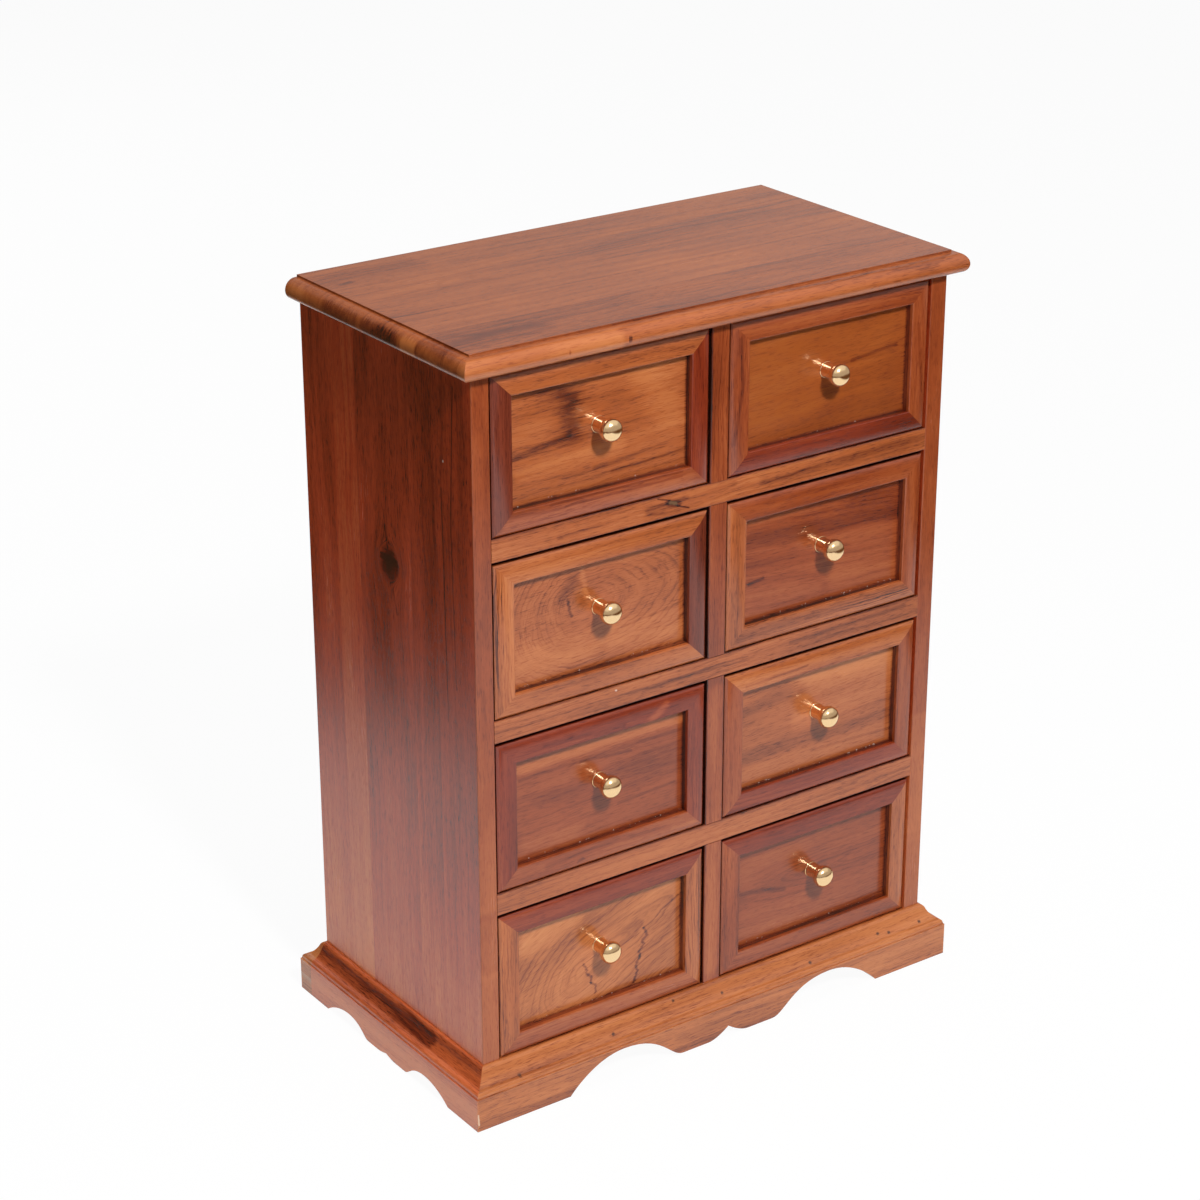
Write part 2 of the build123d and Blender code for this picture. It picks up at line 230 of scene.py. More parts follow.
half_width = carcass_high.x
depth = carcass_high.y - carcass_low.y
top = start_piece(
    "top_moulded",
    "plane",
    scale=(2 * (half_width + top_lip), depth + top_lip, 1),
    size=1,
    location=(0, carcass_high.y - (depth + top_lip) / 2, top_high.z),
)
pick_all()
outset, drop = top_lip, 0
for next_outset, next_drop in top_profile:
    bpy.ops.mesh.extrude_edges_move(TRANSFORM_OT_translate={"value": (0, 0, drop - next_drop)})
    wider = (half_width + next_outset) / (half_width + outset)
    deeper = (depth + next_outset) / (depth + outset)
    back_middle = (0, carcass_high.y, top_high.z - next_drop)
    bpy.ops.transform.resize(value=(wider, deeper, 1), center_override=back_middle)
    outset, drop = next_outset, next_drop
bpy.ops.mesh.edge_face_add()
close_piece(top)
soften(top, 0.25 * mm)
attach(top, "cabinet")
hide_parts("top_board")

# %% [markdown]
# ## The plinth
#
# Four boards stand round the foot of the carcass. A moulding runs along the upper edge of each, and the
# front and side boards are sawn to a scallop along the floor. Each board is drawn as a maker would mark
# it out: the line of the floor edge first, then that line raised to a straight edge, then the moulding row
# by row. The finished strip is given its thickness, turned into place and sawn to its mitres.

# %% Outlines of the plinth
plinth_low, plinth_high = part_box("plinth_front")
plinth_height = plinth_high.z
plinth_reach = carcass_low.y - plinth_low.y
face_top = 19.0 * mm
face_step = 0.6 * mm
round_reach = 8.05 * mm
round_height = 22.2 * mm
slope_reach = 2.8 * mm
slope_height = 29.2 * mm
slope_hollow = 0.65 * mm
cap_pull = 0.6
round_out = plinth_reach - face_step
slope_middle = Vector(((round_reach + slope_reach) / 2, (round_height + slope_height) / 2))
slope_across = Vector((round_height - slope_height, slope_reach - round_reach)).normalized()
hollow_point = slope_middle + 2 * slope_hollow * slope_across

moulding = [Vector((round_out, face_top))]
moulding += curve_points([(round_out, face_top), (round_out, round_height), (round_reach, round_height)], 6)
moulding += curve_points([(round_reach, round_height), hollow_point, (slope_reach, slope_height)], 6)
moulding += curve_points(
    [(slope_reach, slope_height), (cap_pull * slope_reach, plinth_height), (0, plinth_height)], 5
)

cusp_pull = 0.6
lobe_pull = 0.22
arch_lobe_pull = 0.35
arch_foot_pull = 0.45
foot_pull_in = 0.18
foot_pull_up = 0.4


def scallop_half(foot, arch, arch_height, lobe_outer, lobe_inner, cusp, clearance):
    """Half of the floor edge, from the middle cusp outwards, as (distance from the middle, height)."""
    points = [Vector((0, cusp))]
    points += curve_points([(0, cusp), (cusp_pull * lobe_inner, clearance), (lobe_inner, clearance)], 6)
    points.append(Vector((lobe_outer, clearance)))
    inner_arch = [
        (lobe_outer, clearance),
        (lobe_outer + lobe_pull * (arch - lobe_outer), clearance),
        (lobe_outer + arch_lobe_pull * (arch - lobe_outer), arch_height),
        (arch, arch_height),
    ]
    outer_arch = [
        (arch, arch_height),
        (arch + arch_foot_pull * (foot - arch), arch_height),
        (foot - foot_pull_in * (foot - arch), foot_pull_up * arch_height),
        (foot, 0),
    ]
    return points + curve_points(inner_arch, 14) + curve_points(outer_arch, 14)


def floor_edge(low_end, high_end, middle, half):
    """The whole floor edge of a board, from one square end to the other."""
    left = [Vector((middle - distance, height)) for distance, height in reversed(half)]
    right = [Vector((middle + distance, height)) for distance, height in half[1:]]
    return [Vector((low_end, 0)), *left, *right, Vector((high_end, 0))]


front_half = scallop_half(106 * mm, 71 * mm, 17.3 * mm, 31 * mm, 14 * mm, 6.4 * mm, 0.4 * mm)
side_half = scallop_half(62 * mm, 39 * mm, 7.8 * mm, 19 * mm, 9 * mm, 2.0 * mm, 0.4 * mm)
front_middle = 3.8 * mm
outer_half = half_width + plinth_reach
outer_depth = depth / 2 + plinth_reach
print("plinth reach and height", in_mm((plinth_reach, plinth_height)))

# %% Model the plinth boards
def plinth_board(name, edge, face_distance, turn, taper=False):
    """A moulded board whose face looks along -Y, turned about the origin into its place."""
    outer = -face_distance - plinth_reach
    moves = [(there.x - here.x, 0, there.y - here.y) for here, there in zip(edge, edge[1:])]
    board = draw_chain(name, (edge[0].x, outer, edge[0].y), moves)
    pull_out((0, 0, 0))
    bpy.ops.transform.resize(value=(1, 1, 0), center_override=(0, outer, face_top))
    outset, height = plinth_reach, face_top
    for next_outset, next_height in moulding:
        pull_out((0, outset - next_outset, next_height - height))
        if taper:
            narrower = (half_width + next_outset) / (half_width + outset)
            bpy.ops.transform.resize(value=(narrower, 1, 1), center_override=(0, 0, next_height))
        outset, height = next_outset, next_height
    pick_all()
    pull_out((0, 0, 0))
    bpy.ops.transform.resize(value=(1, 0, 1), center_override=(0, -face_distance, 0))
    close_piece(board)
    board.rotation_euler.z = turn
    fix_place()
    return board


def saw_mitre(board, corner, normal):
    """Cuts a board along an upright plane and keeps the wood behind it."""
    bpy.ops.object.mode_set(mode="EDIT")
    pick_all()
    bpy.ops.mesh.bisect(plane_co=corner, plane_no=normal, use_fill=True, clear_outer=True)
    close_piece(board)


left_corner = (carcass_low.x, carcass_low.y, 0)
right_corner = (carcass_high.x, carcass_low.y, 0)
quarter_turn = math.pi / 2
front_edge = floor_edge(-outer_half, outer_half, front_middle, front_half)
left_edge = floor_edge(-depth / 2, outer_depth, 0, side_half)
right_edge = floor_edge(-outer_depth, depth / 2, 0, side_half)
back_edge = [Vector((-outer_half, 0)), Vector((0, 0)), Vector((outer_half, 0))]

plinth_front = plinth_board("plinth_front_moulded", front_edge, -carcass_low.y, 0)
saw_mitre(plinth_front, left_corner, (-1, 1, 0))
saw_mitre(plinth_front, right_corner, (1, 1, 0))
plinth_left = plinth_board("plinth_left_moulded", left_edge, half_width, -quarter_turn)
saw_mitre(plinth_left, left_corner, (1, -1, 0))
plinth_right = plinth_board("plinth_right_moulded", right_edge, half_width, quarter_turn)
saw_mitre(plinth_right, right_corner, (-1, -1, 0))
plinth_back = plinth_board("plinth_back_moulded", back_edge, carcass_high.y, math.pi, taper=True)
plinth_boards = {"front": plinth_front, "left": plinth_left, "right": plinth_right, "back": plinth_back}
for side, board in plinth_boards.items():
    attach(board, "cabinet")
    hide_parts(f"plinth_{side}")
    print(board.name, "size", in_mm(board.dimensions))

# %% [markdown]
# ## The drawer frames
#
# Each drawer front is framed by four strips, mitred at the corners. A strip has a soft slope outside, a
# flat band and a small round towards the panel. As with the top, one rectangle is extruded through the
# section and each new outline shrinks towards the middle, which mitres all four corners at once. Each
# strip then gets a material slot of its own, because the real strips were cut from different wood.

# %% Model one frame and copy it
frame_low, frame_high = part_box("drawer_left_1_frame")
frame_middle = (frame_low + frame_high) / 2
frame_half_width = (frame_high.x - frame_low.x) / 2
frame_half_height = (frame_high.z - frame_low.z) / 2
frame_height = frame_high.y - frame_low.y
strip_width = 11.5 * mm
slope_width = 4.7 * mm
slope_drop = 1.7 * mm
inner_round = 0.8 * mm
slope_outer_pull = 0.2
slope_drop_pull = 0.35

edge_height = frame_height - slope_drop
section = [Vector((0, edge_height))]
slope_pull = (slope_outer_pull * slope_width, frame_height - slope_drop_pull * slope_drop)
section += curve_points([(0, edge_height), slope_pull, (slope_width, frame_height)], 6)
section.append(Vector((strip_width - inner_round, frame_height)))
section += curve_points(
    [
        (strip_width - inner_round, frame_height),
        (strip_width, frame_height),
        (strip_width, frame_height - inner_round),
    ],
    4,
)
section.append(Vector((strip_width, 0)))

first_frame = start_piece(
    "drawer_left_1_strips",
    "plane",
    scale=(2 * frame_half_width, 2 * frame_half_height, 1),
    size=1,
    location=(frame_middle.x, frame_high.y, frame_middle.z),
    rotation=(quarter_turn, 0, 0),
)
pick_all()
bpy.ops.mesh.delete(type="ONLY_FACE")
pick_all()
inset, height = 0, 0
for next_inset, next_height in section:
    pull_out((0, height - next_height, 0))
    narrower = (frame_half_width - next_inset) / (frame_half_width - inset)
    lower = (frame_half_height - next_inset) / (frame_half_height - inset)
    bpy.ops.transform.resize(value=(narrower, 1, lower), center_override=frame_middle)
    inset, height = next_inset, next_height
pick(first_frame, lambda place: abs(place.y - frame_high.y) < 0.01 * mm)
bpy.ops.mesh.bridge_edge_loops()
close_piece(first_frame, smooth_angle=30)
for place in range(4):
    first_frame.data.materials.append(None)
for face in first_frame.data.polygons:
    away = face.center - frame_middle
    upright = frame_half_width - abs(away.x) < frame_half_height - abs(away.z)
    if upright:
        face.material_index = 2 if away.x < 0 else 3
    else:
        face.material_index = 0 if away.z > 0 else 1

frames = {"drawer_left_1": first_frame}
for drawer in drawers[1:]:
    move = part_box(f"{drawer}_frame")[0] - frame_low
    frames[drawer] = copy_piece(first_frame, f"{drawer}_strips", move)
for drawer, piece in frames.items():
    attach(piece, drawer)
    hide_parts(f"{drawer}_frame")
print(len(frames), "frames")

# %% [markdown]
# ## The knobs and their screws
#
# The knobs are small brass turnings: a slight foot against the panel, a stout stem and a flattened ball. A
# lathe is the natural way, so the half outline is drawn once as a chain of points and spun about its axis.
# From inside the drawer a slotted screw holds each knob. The first pair is modelled, the rest are copies.

# %% Turn the knob
panel_low, panel_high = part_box("drawer_left_1_front")
knob_low, knob_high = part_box("drawer_left_1_knob")
panel_face = panel_low.y
panel_back = panel_high.y
knob_axis = Vector(((knob_low.x + knob_high.x) / 2, panel_face, (knob_low.z + knob_high.z) / 2))
knob_reach = panel_face - knob_low.y
knob_radius = (knob_high.x - knob_low.x) / 2
foot_radius = 4.5 * mm
foot_thickness = 0.6 * mm
stem_radius = 4.2 * mm
cove_height = 0.8 * mm
ball_thickness = 8.6 * mm
ball_start = knob_reach - ball_thickness
ball_widest = knob_reach - ball_thickness / 2
back_pull = 0.7
rim_pull = 0.4
crown_pull = 0.55

cove_top = foot_thickness + cove_height
outline = [Vector((0, 0)), Vector((foot_radius, 0)), Vector((foot_radius, foot_thickness))]
outline += curve_points(
    [(foot_radius, foot_thickness), (stem_radius, foot_thickness), (stem_radius, cove_top)], 6
)
outline.append(Vector((stem_radius, ball_start)))
ball_back = [
    (stem_radius, ball_start),
    (back_pull * knob_radius, ball_start),
    (knob_radius, ball_start + rim_pull * (ball_widest - ball_start)),
    (knob_radius, ball_widest),
]
ball_crown = [
    (knob_radius, ball_widest),
    (knob_radius, ball_widest + crown_pull * (knob_reach - ball_widest)),
    (crown_pull * knob_radius, knob_reach),
    (0, knob_reach),
]
outline += curve_points(ball_back, 10) + curve_points(ball_crown, 12)

moves = [(there.x - here.x, here.y - there.y, 0) for here, there in zip(outline, outline[1:])]
first_knob = draw_chain("drawer_left_1_brass", knob_axis, moves)
bpy.ops.mesh.spin(steps=64, angle=2 * math.pi, center=knob_axis, axis=(0, 1, 0))
close_piece(first_knob, smooth_angle=50)
soften(first_knob, 0.2 * mm, segments=3)

# %% Make the screw
screw_head_radius = 4.0 * mm
screw_head_height = 2.2 * mm
screw_radius = 2.0 * mm
screw_length = 14.0 * mm
slot_half = 0.5 * mm
slot_depth = 1.1 * mm
head_round = 1.3 * mm
head_top = panel_back + screw_head_height

first_screw = start_piece(
    "drawer_left_1_screw",
    "cylinder",
    vertices=32,
    radius=screw_head_radius,
    depth=screw_head_height,
    location=(knob_axis.x, panel_back + screw_head_height / 2, knob_axis.z),
    rotation=(quarter_turn, 0, 0),
)
pick(first_screw, lambda place: place.y > head_top - 0.1 * mm)
bpy.ops.mesh.bevel(offset=head_round, segments=4, affect="EDGES")
pick(first_screw, lambda place: place.y < panel_back + 0.1 * mm)
bpy.ops.mesh.inset(thickness=screw_head_radius - screw_radius)
pull_out((0, -screw_length, 0))
for slot_side in (-1, 1):
    pick_all()
    slot_wall = (knob_axis.x + slot_side * slot_half, 0, 0)
    bpy.ops.mesh.bisect(plane_co=slot_wall, plane_no=(1, 0, 0))
pick(
    first_screw,
    lambda place: abs(place.x - knob_axis.x) < slot_half + 0.01 * mm and place.y > head_top - 1.2 * mm,
)
pull_out((0, 0, 0))
bpy.ops.transform.resize(value=(1, 0, 1), center_override=(0, head_top - slot_depth, 0))
close_piece(first_screw)

# %% Copy the knobs and screws
knobs = {"drawer_left_1": first_knob}
screws = {"drawer_left_1": first_screw}
for drawer in drawers[1:]:
    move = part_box(f"{drawer}_knob")[0] - knob_low
    knobs[drawer] = copy_piece(first_knob, f"{drawer}_brass", move)
    screws[drawer] = copy_piece(first_screw, f"{drawer}_screw", move)
for drawer in drawers:
    for piece, slot in ((knobs[drawer], "brass"), (screws[drawer], "steel")):
        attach(piece, drawer)
        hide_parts(f"{drawer}_knob")
print(len(knobs), "knobs,", len(screws), "screws")

# %% [markdown]
# ## Shader maths as ordinary maths
#
# A material is a graph of nodes. Written out link by link it hides its meaning, so a small class wraps one
# socket and lets plus, minus, times and the rest add Math nodes by themselves. One method adds any other
# node: its type, its settings and then what goes into its sockets.

# %% The node helpers
def arithmetic(operation):
    """The two methods of an operator, the second one for a plain number on the left."""

    def method(self, other):
        return self.maths(operation, self, other)

    def reflected(self, other):
        return self.maths(operation, other, self)

    return method, reflected


class Value:
    """One output of a shader node, on which ordinary arithmetic adds Math nodes."""

    def __init__(self, nodes, socket):
        self.nodes = nodes
        self.socket = socket

    def output(self, name):
        """Another output of the same node."""
        return Value(self.nodes, self.socket.node.outputs[name])

    def maths(self, operation, *terms):
        """A Math node of these terms."""
        return self.nodes.add("Math", {"operation": operation}, dict(enumerate(terms)))

    __add__, __radd__ = arithmetic("ADD")
    __sub__, __rsub__ = arithmetic("SUBTRACT")
    __mul__, __rmul__ = arithmetic("MULTIPLY")
    __truediv__, __rtruediv__ = arithmetic("DIVIDE")
    __pow__, __rpow__ = arithmetic("POWER")


class Nodes:
    """A node tree that is being built, from empty."""

    def __init__(self, tree):
        self.tree = tree
        tree.nodes.clear()

    def add(self, kind, settings=(), sockets=(), output=0):
        """Adds a node: its settings first, then a value or a link for each named socket."""
        node = self.tree.nodes.new("ShaderNode" + kind)
        for name, setting in dict(settings).items():
            if name == "stops":
                self.set_stops(node.color_ramp, setting)
            else:
                setattr(node, name, setting)
        for name, value in dict(sockets).items():
            if isinstance(value, Value):
                self.tree.links.new(value.socket, node.inputs[name])
            else:
                node.inputs[name].default_value = value
        return Value(self, node.outputs[output]) if node.outputs else None

    def set_stops(self, ramp, stops):
        """Gives a colour ramp its stops, each a position and a colour."""
        while len(ramp.elements) < len(stops):
            ramp.elements.new(0.5)
        for element, (position, colour) in zip(ramp.elements, stops):
            element.position = position
            element.color = (*colour, 1)

    def fade(self, value, low, high):
        """0 where a value is at low, 1 where it is at high, smooth between."""
        settings = {"interpolation_type": "SMOOTHSTEP"}
        return self.add("MapRange", settings, {"Value": value, "From Min": low, "From Max": high})

    def blend(self, share, first, second):
        """Mixes two colours."""
        return self.add("Mix", {"data_type": "RGBA"}, {0: share, 6: first, 7: second}, output=2)

    def vector(self, operation, *terms, output=0):
        """A Vector Math node of these terms."""
        return self.add("VectorMath", {"operation": operation}, dict(enumerate(terms)), output)


def new_finish(name):
    """A material with an empty node tree."""
    material = bpy.data.materials.new(name)
    material.use_nodes = True
    return material, Nodes(material.node_tree)


# %% [markdown]
# ## Varnished teak
#
# A plank is a cut through a tree, so its figure comes from growth rings round a heart. Where the heart is
# far away the rings run as straight lines, and where it comes near the face they close to arches. Streaks
# of colour follow the rings, while fibre and pores follow the length of the board. Varnish is not a layer
# of its own here: a smooth surface with a high index of refraction looks the same and takes the bump of
# the pores with it.

# %% Noise along the grain
def wood_place(nodes, axes):
    """The place on the wood in millimetres: along the grain, across the face and through the board."""
    place = nodes.add("TexCoord", output="Object")
    apart = nodes.add("SeparateXYZ", (), {0: place})
    return [apart.output(axis) / mm for axis in axes]


# patches of noise: length along the grain and width across it in millimetres, place in the noise, detail
patches = {
    "knot_rim": (14, 6, 9.4, 2),
    "wave": (130, 50, 3.1, 2),
    "jag": (24, 8, 7.7, 2),
    "cloud": (110, 26, 5.3, 2),
    "streak": (190, 4.5, 8.9, 3),
    "thin_line": (110, 0.9, 1.3, 2),
    "line_area": (60, 12, 2.2, 2),
    "uneven_ring": (90, 3, 1.9, 2),
    "ring_area": (70, 16, 6.6, 2),
    "fibre": (13, 0.5, 4.4, 2),
    "pore": (6, 0.36, 6.1, 1),
}


def drawn_out(nodes, place, kind, seed, widen=1):
    """Noise in patches that are drawn out along the grain."""
    along, across, through = place
    length, width, shift, detail = patches[kind]
    width *= widen
    seed += shift
    sockets = {0: along / length + seed, 1: across / width + 2.3 * seed, 2: through / width}
    spot = nodes.add("CombineXYZ", (), sockets)
    return nodes.add("TexNoise", (), {"Vector": spot, "Scale": 1, "Detail": detail, "Roughness": 0.55})


# %% [markdown]
# ## Marks in the wood
#
# Dark flames, ink lines, knots' tails and filled nail holes are what makes one board different from the
# next. Each is a path of a few points over the face with a width. The distance from a place to the nearest
# leg of the path is plain vector maths. Colour bleeds along the fibres far more than across them, so the
# place is first moved by a noise that is fine across the grain, mostly along it.

# %% Marks along a path
mark_core = 0.15
bleed_length = 16.0
bleed_width = 1.1


def mark_mask(nodes, face, path, width, bleed=True):
    """1 on a band along a path over the face, 0 away from it, with a border that fibres have carried on."""
    stray_across = 0.15 + 0.15 * width
    stray_along = 0.6 + 0.8 * width if bleed else stray_across
    stray = Vector((stray_along, stray_across, 0))
    fibres = (1 / bleed_length, 1 / bleed_width, 0) if bleed else (0.6, 0.6, 0)
    fibre_place = nodes.vector("MULTIPLY", face, fibres)
    noise = {"Vector": fibre_place, "Scale": 1, "Detail": 3}
    unevenness = nodes.add("TexNoise", (), noise, output="Color")
    spot = nodes.vector("MULTIPLY_ADD", unevenness, 2 * stray, face)
    nearest = None
    for start, end in zip(path, path[1:]):
        leg = Vector((end[0] - start[0], end[1] - start[1], 0))
        leg_start = Vector((*start, 0)) + stray
        from_start = nodes.vector("SUBTRACT", spot, leg_start)
        share = nodes.vector("DOT_PRODUCT", from_start, leg / leg.length_squared, output="Value")
        share = nodes.add("Clamp", (), {"Value": share})
        foot = nodes.add("VectorMath", {"operation": "SCALE"}, {0: leg, "Scale": share})
        distance = nodes.vector("DISTANCE", from_start, foot, output="Value")
        nearest = distance if nearest is None else nearest.maths("MINIMUM", nearest, distance)
    return nodes.fade(nearest, width, mark_core * width)


def shaded_corner_and_dust_band(nodes, along, across, through, border):
    """How deep a place on a panel's face lies in the corner to the frame, for painted shade there, and how
    near the lower corner, for the dust flecks.
    """
    middle, half, face_depth = border
    off_along = along - middle[0]
    off_across = across - middle[1]
    to_side = half[0] - off_along.maths("ABSOLUTE", off_along)
    to_level = half[1] - off_across.maths("ABSOLUTE", off_across)
    nearest = to_side.maths("MINIMUM", to_side, to_level)
    on_face = nodes.fade(through, face_depth + 0.8, face_depth + 0.2)
    return on_face * nodes.fade(nearest, 1.5, 0.1), on_face * nodes.fade(off_across + half[1], 1.8, 0.5)


# %% [markdown]
# ## The wood recipe
#
# All the woods of the chest are one recipe with different numbers. Colour runs from a dark to a light tone,
# and everything that happens in the board only moves a place up or down that scale. That keeps the parts
# of the figure in tune with each other, as they are in one tree. Below the dark end the scale goes on to a
# burnt brown, which only knots and flames reach.

# %% The wood recipe
seam = 0.12
base_tone = 0.53
plank_apart = 60
# Painted shade: corner_shade darkens a panel's face in the corner along its frame.
corner_shade = 0.4
# Painted shade: wall_shade darkens the walls below a rim, from wall_rise to wall_fall deep, gone by
# wall_end.
wall_shade = 0.5
wall_rise, wall_fall, wall_end = 0.8, 8, 14
scale_stops = (0.0, 0.2, 0.6, 1.0)
burnt = (0.030, 0.008, 0.004)
pale_dust = (0.62, 0.50, 0.42)


def teak(
    name, axes, tones, seed, rise=0.0, clouds=0.4, streaks=0.28, lines=0.14, rings=0.15, heart=(0.0, 600.0),
    before=0.02, beyond=0.02, spacing=5.0, planks=(), knots=(), marks=(), stains=(), edge=None, border=None,
    rim=None, foot=None, ripple=1.5, gloss=0.2,
):
    """Varnished wood. Axes name the ways along the grain, across the face and through the board, tones are
    the dark, middle and light colour, and rise is how far the grain climbs across the face along it."""
    material, nodes = new_finish(name)
    along, across, through = wood_place(nodes, axes)
    face = nodes.add("CombineXYZ", (), {0: along, 1: across, 2: 0.0})
    tone = base_tone
    for limit, step in planks:
        past_seam = nodes.fade(across, limit - seam, limit + seam)
        tone = step * past_seam + tone
        through = plank_apart * past_seam + through

    flow = across
    for centre, radius in knots:
        knot_along = 0.9 * (along - centre[0])
        knot_across = flow - centre[1]
        reach = knot_along * knot_along + knot_across * knot_across
        eye = reach**0.5 + radius * (drawn_out(nodes, (along, across, through), "knot_rim", seed) - 0.5)
        tone = tone - 0.3 * nodes.fade(eye, 1.3 * radius, 0.5 * radius)
        tone = tone - 0.4 * nodes.fade(eye, 0.6 * radius, 0.3 * radius)
        reach = reach.maths("MAXIMUM", reach, radius * radius)
        flow = centre[1] + knot_across * (1 - radius * radius / reach)
    wave = drawn_out(nodes, (along, flow, through), "wave", seed)
    jag = drawn_out(nodes, (along, flow, through), "jag", seed)
    level = flow - heart[1] - rise * (along - heart[0]) + 9 * (wave - 0.5) + 2 * ripple * (jag - 0.5)
    off = along - heart[0]
    off = before * off.maths("MINIMUM", off, 0.0) + beyond * off.maths("MAXIMUM", off, 0.0)
    ring_way = (off * off + level * level) ** 0.5
    ring_place = (along, ring_way, through + 0.2 * across)
    board_place = (along, flow - rise * along, through)

    cloud = drawn_out(nodes, board_place, "cloud", seed)
    streak = drawn_out(nodes, ring_place, "streak", seed)
    thin = nodes.fade(drawn_out(nodes, ring_place, "thin_line", seed), 0.53, 0.64)
    thin = thin * nodes.fade(drawn_out(nodes, ring_place, "line_area", seed), 0.4, 0.62)
    uneven = drawn_out(nodes, ring_place, "uneven_ring", seed, spacing)
    phase = ring_way / spacing + 2.2 * (uneven - 0.5)
    ring = phase.maths("FRACT", phase)
    late_wood = nodes.fade(ring, 0.55, 0.92) * nodes.fade(ring, 1.0, 0.94)
    late_wood = late_wood * nodes.fade(drawn_out(nodes, board_place, "ring_area", seed), 0.36, 0.6)
    fibre = drawn_out(nodes, board_place, "fibre", seed)
    pore = nodes.fade(drawn_out(nodes, board_place, "pore", seed), 0.56, 0.66)

    tone = 2 * clouds * (cloud - 0.5) + 2 * streaks * (streak - 0.5) + tone
    tone = tone - lines * thin - rings * late_wood + 0.34 * (fibre - 0.5) - 0.28 * pore
    for path, width, shift in marks:
        tone = tone + shift * mark_mask(nodes, face, path, width)
    # Painted shade: the panel's face is darkened in the corner along its frame.
    if border:
        corner, low_corner = shaded_corner_and_dust_band(nodes, along, across, through, border)
        tone = tone - corner_shade * corner
    # Painted shade: the walls of gaps and recesses below the rim are darkened.
    if rim:
        wall = nodes.fade(through, rim + wall_end, rim + wall_fall)
        tone = tone - wall_shade * nodes.fade(through, rim, rim + wall_rise) * wall
    # Painted light: the tone rises towards the floor, for the light that the paper throws up.
    if foot:
        foot_high, foot_low, shift = foot
        tone = tone + shift * nodes.fade(along, foot_high, foot_low)
    scale = scale_stops[1] + (1 - scale_stops[1]) * tone
    colour = nodes.add("ValToRGB", {"stops": list(zip(scale_stops, (burnt, *tones)))}, {"Fac": scale})
    if edge:
        limit, edge_tones = edge
        edge_stops = list(zip(scale_stops, (burnt, *edge_tones)))
        edge_colour = nodes.add("ValToRGB", {"stops": edge_stops}, {"Fac": scale})
        colour = nodes.blend(nodes.fade(across, limit + seam, limit - seam), colour, edge_colour)
    for path, width, stain in stains:
        colour = nodes.blend(mark_mask(nodes, face, path, width, bleed=False), colour, (*stain, 1))
    if border:
        fleck = nodes.add("TexNoise", (), {"Vector": face, "Scale": 0.55, "Detail": 2})
        fleck = low_corner * nodes.fade(fleck, 0.64, 0.70)
        colour = nodes.blend(0.7 * fleck, colour, (*pale_dust, 1))

    height = 0.5 * fibre - 0.9 * pore
    bump = nodes.add("Bump", (), {"Height": height, "Strength": 0.2, "Distance": 0.1 * mm})
    roughness = gloss + 0.25 * (cloud - 0.5) + 0.15 * (fibre - 0.5)
    sockets = {"Base Color": colour, "Roughness": roughness, "IOR": 1.6, "Normal": bump}
    shader = nodes.add("BsdfPrincipled", (), sockets)
    nodes.add("OutputMaterial", (), {"Surface": shader})
    return material


def dress(piece, *finishes):
    """Puts finishes in the material slots of a piece."""
    slots = piece.data.materials
    while len(slots) < len(finishes):
        slots.append(None)
    for place, finish in enumerate(finishes):
        slots[place] = finish


# %% [markdown]
# ## The colours
#
# Nine tone scales cover the whole chest. They are written as linear colours under a plain light, so they
# look darker here than they will under the varnish.

# %% Tone scales
honey = ((0.11, 0.020, 0.007), (0.36, 0.092, 0.024), (0.50, 0.165, 0.050))
pale_honey = ((0.16, 0.030, 0.010), (0.43, 0.130, 0.036), (0.58, 0.215, 0.072))
olive = ((0.15, 0.026, 0.006), (0.295, 0.068, 0.012), (0.39, 0.115, 0.022))
chestnut = ((0.11, 0.016, 0.005), (0.26, 0.050, 0.012), (0.40, 0.108, 0.030))
russet = ((0.07, 0.007, 0.003), (0.20, 0.024, 0.006), (0.34, 0.068, 0.018))
plum = ((0.05, 0.007, 0.004), (0.15, 0.024, 0.009), (0.27, 0.052, 0.018))
amber = ((0.13, 0.021, 0.006), (0.315, 0.077, 0.018), (0.45, 0.135, 0.036))
mahogany = ((0.10, 0.009, 0.003), (0.50, 0.060, 0.015), (0.72, 0.210, 0.065))
cedar = ((0.14, 0.018, 0.006), (0.54, 0.110, 0.030), (0.72, 0.215, 0.075))
print("tone scales:", 9)

# %% [markdown]
# ## The carcass woods
#
# The boards of the carcass are glued up from planks of one species that differ in colour. The top runs
# left to right, the sides run upright, and rails and plinth run with their length. A plank is a place
# across the board from which the tone steps up or down and the figure starts afresh.

# %% The top and the sides
nose_face = carcass_low.y / mm - 1.5
top_planks = ((-95.0, -0.04), (nose_face, -0.10), (-44.0, 0.20), (-31.0, -0.06), (12.0, -0.04), (46.0, 0.04))
end_blocks = ((-68, -50, 0.1), (-42, -33, 0.55), (-26, 4, -0.5), (12, 40, -0.3), (64, 78, 0.35))
top_marks = [
    (((-142, 51), (-136, 52)), 3, -0.3),
    (((-146, 62), (-96, 62)), 14, -0.22),
    (((-152, -66), (-100, -64)), 12, -0.2),
    (((-150, -12), (40, -16), (140, -14)), 1.4, -0.18),
    (((-60, 20), (60, 24)), 1, -0.14),
    (((-146, 30), (-60, 34)), 1.2, -0.14),
    (((-160, -88), (-70, -88)), 6, 0.35),
    (((-98.3, -88.4), (-97.5, -88.4)), 0.4, -0.5),
    (((-63, -88.4), (-61.4, -88.4)), 0.4, -0.5),
]
top_marks += [(((-158.5, low), (-158.5, high)), 3.5, shift) for low, high, shift in end_blocks]
top_figure = {"heart": (40, 240), "spacing": 9, "lines": 0.08, "planks": top_planks, "marks": top_marks}
top_wood = teak("top_teak", "XYZ", amber, 0.3, edge=(nose_face, honey), **top_figure)
stile_face = carcass_low.y / mm + 0.6
side_planks = ((stile_face, -0.21), (-46.0, -0.02), (-22.0, 0.02), (28.0, 0.20), (50.0, -0.10))
side_knot = (288.7, -0.6)
